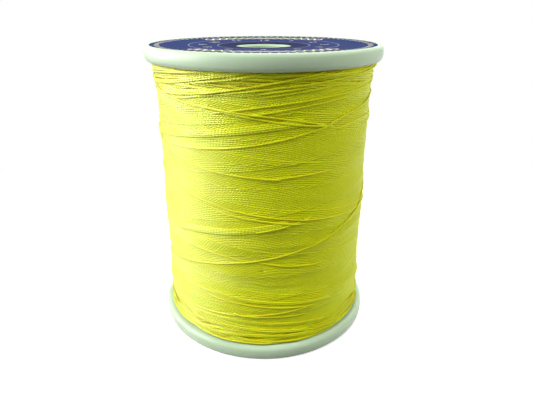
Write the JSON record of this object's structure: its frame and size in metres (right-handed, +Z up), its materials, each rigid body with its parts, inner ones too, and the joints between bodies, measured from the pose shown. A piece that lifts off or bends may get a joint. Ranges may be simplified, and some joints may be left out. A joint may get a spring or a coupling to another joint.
{
  "type": "string reel",
  "caption": "Upright reel of fine twisted string, wound full between round moulded flanges, with a through bore and a printed disc on each end.",
  "frame": {"origin": "middle of the lower flange's outer face, where the reel stands", "axes": "+Z up along the reel's axis; -Y towards the side that the picture shows"},
  "size_m": [0.06, 0.06, 0.0762],
  "materials": {
    "flange_plastic": "natural translucent moulded plastic, satin gloss",
    "core_plastic": "natural extruded plastic",
    "label_print": "dark blue and silver foil print on paper",
    "string": "fluorescent yellow twisted multifilament"
  },
  "bodies": {
    "root": {"lower_flange": "flange_plastic", "upper_flange": "flange_plastic", "core_tube": "core_plastic", "bottom_label": "label_print", "top_label": "label_print", "inner_string_layers": "string", "outer_string_layer": "string"}
  },
  "joints": []
}
